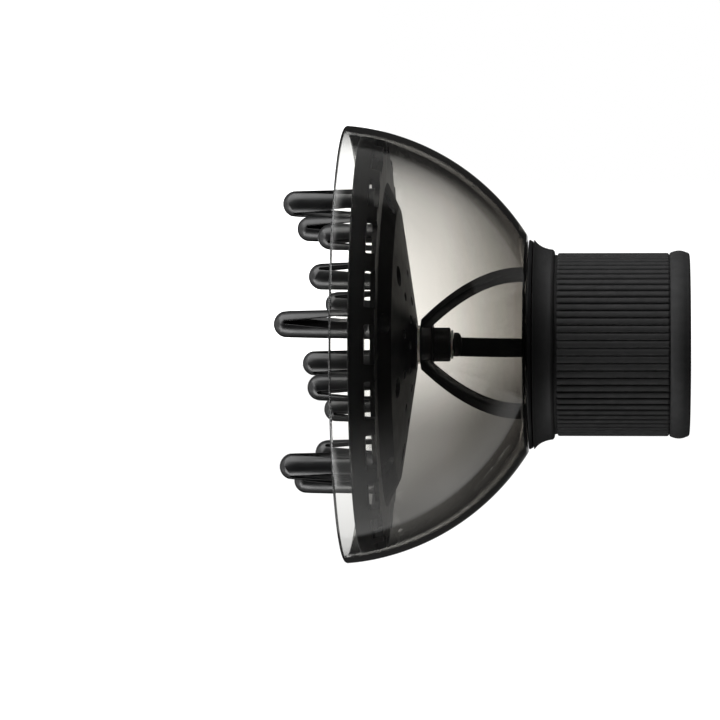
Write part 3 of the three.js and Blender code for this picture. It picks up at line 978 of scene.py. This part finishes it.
FINGER = {
    "base_radius": 4.95,
    "tip_radius": 4.4,
    "wall": 1.5,
    "flange_radius": 5.2,
    "flare": 1.8,  # from the flange's underside to where the flared foot ends
    "flare_bend": 0.7,
    "flange_top": 0.45,
    "flange_edge": 0.25,
    "foot_edge": 0.1,
    "spigot": 1.9,
    "spigot_wall": 1.0,
    "spigot_edge": 0.3,
    "slots": 3,
    "slot_tip": 3.8,  # from the fingertip back to the slot's point
    "slot_taper": 18.0,
    "slot_width": 4.5,
    "slot_foot": 3.4,
    "slot_corner": 0.9,
    "point_radius": 0.45,
    "sector_foot": 0.5,  # the slotted part starts this far above the flared foot
    "sector_dome": 0.55,  # and ends at this share of the dome's height
    "edge": 0.22,
}
WIDEST_SLOT = math.radians(50)  # half-angle of a slot on the inner wall, at most
SECTOR = math.pi / FINGER["slots"]  # half of the finger's round that belongs to one slot


def slot_half_outline(length):
    """Half of a slot as (sideways, height) points of its bottom, its side and its tip."""
    half, foot, corner = FINGER["slot_width"] / 2, FINGER["slot_foot"], FINGER["slot_corner"]
    point, point_radius = length - FINGER["slot_tip"], FINGER["point_radius"]
    corner_top = foot + corner
    shoulder = max(point - FINGER["slot_taper"], corner_top + 0.1)
    taper = math.atan2(half, point - shoulder)
    arc = [math.pi / 2 * i / 6 for i in range(7)]
    bend = [(half - corner + corner * math.sin(t), corner_top - corner * math.cos(t)) for t in arc]
    bottom = [((half - corner) * i / 3, foot) for i in range(3)] + bend[:4]
    rise = [(half, corner_top + (shoulder - corner_top) * i / 3) for i in range(1, 4)]
    turn = [taper + (math.pi / 2 - taper) * i / 6 for i in range(7)]
    tip = [(point_radius * math.cos(t), point - point_radius + point_radius * math.sin(t)) for t in turn]
    lean = []
    for i in range(1, 7):
        share = i / 7
        lean.append((half + (tip[0][0] - half) * share, shoulder + (tip[0][1] - shoulder) * share))
    return bottom, [*bend[4:], *rise, *lean, tip[0]], tip[1:]


def finger_frame(bottom, side, top, low, high):
    """For each point of a slot's half outline, the (angle, height) it runs out to on its sector's border."""
    targets = [(SECTOR * i / (len(bottom) - 1), low) for i in range(len(bottom))]
    targets += [(SECTOR, low + (high - low) * (i + 1) / len(side)) for i in range(len(side))]
    targets += [(SECTOR * (1 - (i + 1) / len(top)), high) for i in range(len(top))]
    return targets


def outward_normals(outline):
    """Unit normals of a closed outline of (sideways, height) points, pointing away from the slot."""
    normals = []
    for i in range(len(outline)):
        along = Vector(outline[(i + 1) % len(outline)]) - Vector(outline[i - 1])
        normals.append(Vector((along.y, -along.x)).normalized())
    return normals


def wall_point(length, height, depth):
    """Radius and height of a finger's wall at a depth under its outer face."""
    centre = length - FINGER["tip_radius"]
    if height > centre:
        angle = math.asin(min(1, (height - centre) / FINGER["tip_radius"]))
        inner = FINGER["tip_radius"] - depth
        return inner * math.cos(angle), centre + inner * math.sin(angle)
    share = (height - FINGER["flare"]) / (centre - FINGER["flare"])
    return FINGER["base_radius"] + (FINGER["tip_radius"] - FINGER["base_radius"]) * share - depth, height


def finger_point(length, angle, height, depth):
    """A point of a finger's wall, in the finger's own axes and in metres."""
    radius, lift = wall_point(length, height, depth)
    return Vector((radius * math.cos(angle), radius * math.sin(angle), lift)) * MM


def slot_steps():
    """Rings round a slot through the wall, as (share of the way out to the border, offset, depth)."""
    edge, wall = FINGER["edge"], FINGER["wall"]
    steps = [(share, edge, 0.0) for share in (1, 0.75, 0.5, 0.28, 0.1, 0)]
    bends = [math.pi / 2 * i / 3 for i in range(1, 4)]
    steps += [(0, edge * (1 - math.sin(t)), edge * (1 - math.cos(t))) for t in bends]
    return steps + [(share, offset, wall - depth) for share, offset, depth in reversed(steps)]


def slotted_sector(length, turn, outline, targets):
    """A third of a finger's wall round its slot, outside and inside, with the slot's edges rounded."""
    normals = outward_normals(outline)
    limit = math.sin(WIDEST_SLOT)
    rows = []
    for share, offset, depth in slot_steps():
        row = []
        for spot, normal, (target_angle, target_height) in zip(outline, normals, targets):
            sideways, height = Vector(spot) + normal * offset
            radius = wall_point(length, height, depth)[0]
            angle = math.asin(max(-limit, min(limit, sideways / radius)))
            angle += (target_angle - angle) * share
            height += (target_height - height) * share
            row.append(finger_point(length, turn + angle, height, depth))
        rows.append(row)
    return skin(rows, closed=False)


def finger_mesh(length):
    """A hollow finger on its own axis: three slotted sectors, the foot with its spigot, and the dome."""
    low = FINGER["flare"] + FINGER["sector_foot"]
    high = length - FINGER["tip_radius"] + FINGER["sector_dome"] * FINGER["tip_radius"]
    bottom, side, top = slot_half_outline(length)
    half = [*bottom, *side, *top]
    half_targets = finger_frame(bottom, side, top, low, high)
    mirrored = range(len(half) - 2, 0, -1)
    outline = half + [(-half[i][0], half[i][1]) for i in mirrored]
    targets = half_targets + [(-half_targets[i][0], half_targets[i][1]) for i in mirrored]
    slots = FINGER["slots"]
    shapes = [slotted_sector(length, FULL_TURN * slot / slots, outline, targets) for slot in range(slots)]
    return mesh_of([*shapes, finger_foot(length, low), *finger_domes(length, high, len(top))])


def sector_angles(count):
    """Evenly spaced angles round a finger that meet the sectors' borders."""
    return [SECTOR * i / count for i in range(2 * FINGER["slots"] * count)]


def finger_foot(length, low):
    """From the outer wall down over the flared foot and spigot, and up the bore."""
    base, flange, edge = FINGER["base_radius"], FINGER["flange_radius"], FINGER["foot_edge"]
    spigot, spigot_edge = FINGER["spigot"], FINGER["spigot_edge"]
    inner = SPIGOT_RADIUS - FINGER["spigot_wall"]
    flare_end = (FINGER["flange_top"], flange - edge)
    sweep = bezier((FINGER["flare"], base), (FINGER["flare_bend"], base), flare_end, 6)
    outline = [
        (low, wall_point(length, low, 0)[0]),
        *sweep,
        (FINGER["flange_edge"], flange),
        (edge, flange - 0.2 * edge),
        (0, flange - 1.5 * edge),
        (0, SPIGOT_RADIUS),
        (-spigot + spigot_edge, SPIGOT_RADIUS),
        (-spigot, SPIGOT_RADIUS - spigot_edge),
        (-spigot, inner + edge),
        (-spigot + edge, inner),
        (0, inner + edge),
        (low, wall_point(length, low, FINGER["wall"])[0]),
    ]
    angles = sector_angles(6)
    rows = []
    for height, radius in outline:
        rows.append([Vector((radius * math.cos(t), radius * math.sin(t), height)) * MM for t in angles])
    return skin(rows, closed=False)


def finger_domes(length, high, count):
    """The closed outer and inner ends above the slotted sectors."""
    centre, tip = length - FINGER["tip_radius"], FINGER["tip_radius"]
    start = math.asin((high - centre) / tip)
    shapes = []
    for depth in (0, FINGER["wall"]):
        rows = []
        for i in range(6):
            angle = start + (math.pi / 2 - start) * i / 5
            height = centre + tip * math.sin(angle)
            rows.append([finger_point(length, t, height, depth) for t in sector_angles(count)])
        shapes.append(skin(rows, closed=False))
    return shapes


def mount_matrix(level, radius, azimuth):
    """Stands a finger's own axes in the frame: its x outward, y sideways and z towards the tips."""
    outward = place(0, 1, azimuth) / MM
    sideways = place(0, 0, azimuth, 1) / MM
    matrix = Matrix((outward, sideways, Vector((-1, 0, 0)))).transposed().to_4x4()
    matrix.translation = place(level, radius, azimuth)
    return matrix


# ---- Assembly ----


def build_housing(black, white):
    """Adds the six pieces that stay still."""
    matt = moulded_plastic(
        "clamp_plastic",
        dark=(0.008, 0.008, 0.0083),
        light=(0.013, 0.013, 0.0133),
        roughness=(0.56, 0.68),
        specular=0.4,
        grain_depth=0.012 * MM,
    )
    rubber = silicone(SLEEVE_RIBS["valley"], SLEEVE_RIBS["crest"])
    smoke = smoked_plastic(bowl_back, bowl_rim)
    pieces = [
        ("sleeve", mesh_of([sleeve_shape()]), rubber, "sleeve_silicone"),
        ("clamp_ring", mesh_of([clamp_ring_shape()]), matt, "clamp_plastic"),
        ("neck_ring", mesh_of([neck_ring_shape()]), black, "black_plastic"),
        ("bowl", mesh_of([bowl_shape()]), smoke, "smoked_plastic"),
        ("spider", spider_mesh(), black, "black_plastic"),
        ("bearing_bush", mesh_of([bush_shape()]), white, "white_plastic"),
    ]
    for node, mesh, material, slot in pieces:
        add_piece(node, evenly_shaded(mesh), material, "housing")


def build_finger_head(black, white):
    """Adds the pieces that turn: axle, washers, plate, nut and cap."""
    pieces = [
        ("axle_pin", mesh_of([axle_pin_shape()]), black, "black_plastic"),
        ("rear_washer", mesh_of([washer_shape("rear_washer")]), white, "white_plastic"),
        ("thrust_washer", mesh_of([washer_shape("thrust_washer")]), white, "white_plastic"),
        ("finger_plate", finger_plate_mesh(), black, "black_plastic"),
        ("axle_nut", nut_mesh(), steel(), "nut_steel"),
        ("hub_cap", mesh_of([hub_cap_shape()]), black, "black_plastic"),
    ]
    for node, mesh, material, slot in pieces:
        add_piece(node, evenly_shaded(mesh), material, "finger_head")


def build_fingers():
    """Adds the twelve fingers. Those of one length share a mesh."""
    satin = moulded_plastic(
        "finger_plastic",
        dark=(0.007, 0.007, 0.0075),
        light=(0.013, 0.013, 0.0135),
        roughness=(0.26, 0.4),
        specular=0.5,
        grain_depth=0.006 * MM,
    )
    meshes = {}
    for node, level, radius, azimuth in finger_spots():
        base = level + FINGER["spigot"]
        length = round(span(node)[1] - base, 2)
        if length not in meshes:
            meshes[length] = evenly_shaded(finger_mesh(length))
        matrix = mount_matrix(base, radius, azimuth)
        add_piece(node, meshes[length], satin, "finger_head", matrix)


def build_diffuser():
    """Adds every piece, with the two materials that both bodies share."""
    black = moulded_plastic(
        "black_plastic",
        dark=(0.006, 0.006, 0.0065),
        light=(0.012, 0.012, 0.0125),
        roughness=(0.4, 0.48),
        specular=0.2,
        grain_depth=0.003 * MM,
    )
    white = acetal()
    build_housing(black, white)
    build_finger_head(black, white)
    build_fingers()


# ---- Stage ----

CAMERA = {
    "level": 22.7 * MM,  # the camera stands level with this distance from the open end
    "distance": 1.163,
    "turn": math.radians(4.41),  # towards the fingertips
    "tilt": math.radians(-0.26),
    "lens": 170.2,
}


def add_camera():
    """The camera that took the photo, fitted to its outlines."""
    camera = new_object("camera", bpy.data.cameras.new("camera"))
    camera.data.lens = CAMERA["lens"]
    camera.location = (-CAMERA["level"], -CAMERA["distance"], 0)
    camera.rotation_euler = (math.pi / 2 + CAMERA["tilt"], 0, CAMERA["turn"])
    bpy.context.scene.camera = camera


# The studio as patches of a dome round the object: strength, then the edges that bound the patch. An edge is
# an axis of the direction, with the value where the patch is dark and the one where it is fully bright. Y is
# away from the camera and Z is up.
FAR_SIDE = ("Y", 0.84, 0.9)
NEAR_TABLE_TOP = ("Z", 0.06, 0.0)
LAMP_ENDS = (("X", -0.92, -0.8), ("X", 0.12, 0.0))
TABLE = (("Y", 0.54, 0.5), ("Z", -0.26, -0.3))
STUDIO = {
    "wall above the table": (1.0, FAR_SIDE, ("Z", -0.04, 0.01), ("Z", 0.15, 0.03)),
    "wall near the table": (0.2, FAR_SIDE, ("Z", -0.09, -0.03), NEAR_TABLE_TOP),
    "far end of the table": (0.13, FAR_SIDE, ("Z", -0.22, -0.05), NEAR_TABLE_TOP),
    "wall past the rim": (0.75, ("X", -0.068, -0.073), FAR_SIDE, ("Z", -0.2, -0.16), ("Z", 0.2, 0.16)),
    "lamp over the fingers": (4.3, *LAMP_ENDS, ("Y", -0.74, -0.62), ("Y", 0.19, 0.07), ("Z", 0.0, 0.12)),
    "lamp under the fingers": (7.0, *LAMP_ENDS, ("Y", -0.62, -0.5), ("Y", -0.13, -0.25), ("Z", 0.0, -0.12)),
    "card facing the dish": (0.8, ("X", -0.8, -0.92)),
    "card below": (0.45, ("X", 0.8, 0.3), ("Y", -0.8, -0.2), *TABLE),
    "card below the sleeve": (0.5, ("X", 0.3, 0.6), ("Y", 0.05, 0.4), *TABLE),
    "card above": (0.2, ("Y", -0.09, -0.05), ("Y", 0.64, 0.6), ("Z", 0.26, 0.3)),
    "camera's side": (0.03, ("X", 0.3, 0.0), ("Y", -0.1, -0.3)),
}
# Seen only straight through the bowl, from the other sides.
BACKDROP = {"walls to the side and behind the camera": (0.7, ("Y", 0.8, 0.6))}
DARK_ROOM = 0.02


def patches_of(tree, patches):
    """The sum of patches of the dome, for one direction of a ray."""
    axes = tree.nodes.new("ShaderNodeSeparateXYZ")
    tree.links.new(tree.nodes.new("ShaderNodeTexCoord").outputs["Generated"], axes.inputs["Vector"])
    total = None
    for strength, *edges in patches.values():
        patch = None
        for axis, dark, bright in edges:
            side = spread(tree, axes.outputs[axis], (dark, bright), (0, 1), smooth=True)
            patch = side if patch is None else combine(tree, "MULTIPLY", patch, side)
        patch = combine(tree, "MULTIPLY", patch, strength)
        total = patch if total is None else combine(tree, "ADD", patch, total)
    return total


def add_world():
    """A white background for the camera, and the studio's patches for everything that the object reflects."""
    world = bpy.data.worlds.new("studio")
    world.use_nodes = True
    bpy.context.scene.world = world
    tree = world.node_tree
    rays = tree.nodes.new("ShaderNodeLightPath")
    bounces = combine(tree, "ADD", rays.outputs["Diffuse Depth"], rays.outputs["Glossy Depth"])
    backdrop = combine(tree, "MULTIPLY", patches_of(tree, BACKDROP), combine(tree, "LESS_THAN", bounces, 0.5))
    light = combine(tree, "ADD", combine(tree, "ADD", patches_of(tree, STUDIO), backdrop), DARK_ROOM)
    strength = combine(tree, "MAXIMUM", rays.outputs["Is Camera Ray"], light)
    tree.links.new(strength, tree.nodes["Background"].inputs["Strength"])
    tree.nodes["Background"].inputs["Color"].default_value = (1, 1, 1, 1)


FLOOR = {"drop": 0.28, "reach": 60, "grey": 0.1, "glow": 0.95}  # drop and reach in metres


def add_floor():
    """A pale floor well below the object, which hangs free. It lights nothing."""
    depth, reach, grey = CAD_BOUNDS[0].z - FLOOR["drop"], FLOOR["reach"], FLOOR["grey"]
    corners = [(x * reach, y * reach, depth) for x, y in ((-1, -1), (1, -1), (1, 1), (-1, 1))]
    mesh = bpy.data.meshes.new("floor")
    mesh.from_pydata(corners, [], [(0, 1, 2, 3)])
    floor = new_object("floor", mesh)
    made, _, shader = new_material("floor")
    shader.inputs["Base Color"].default_value = (grey, grey, grey, 1)
    shader.inputs["Roughness"].default_value = 1
    shader.inputs["Specular IOR Level"].default_value = 0
    shader.inputs["Emission Color"].default_value = (1, 1, 1, 1)
    shader.inputs["Emission Strength"].default_value = FLOOR["glow"]
    mesh.materials.append(made)
    floor.visible_diffuse = False
    floor.visible_glossy = False
    floor.visible_transmission = False


bpy.context.scene.view_settings.view_transform = "Standard"
build_diffuser()
add_camera()
add_world()
add_floor()
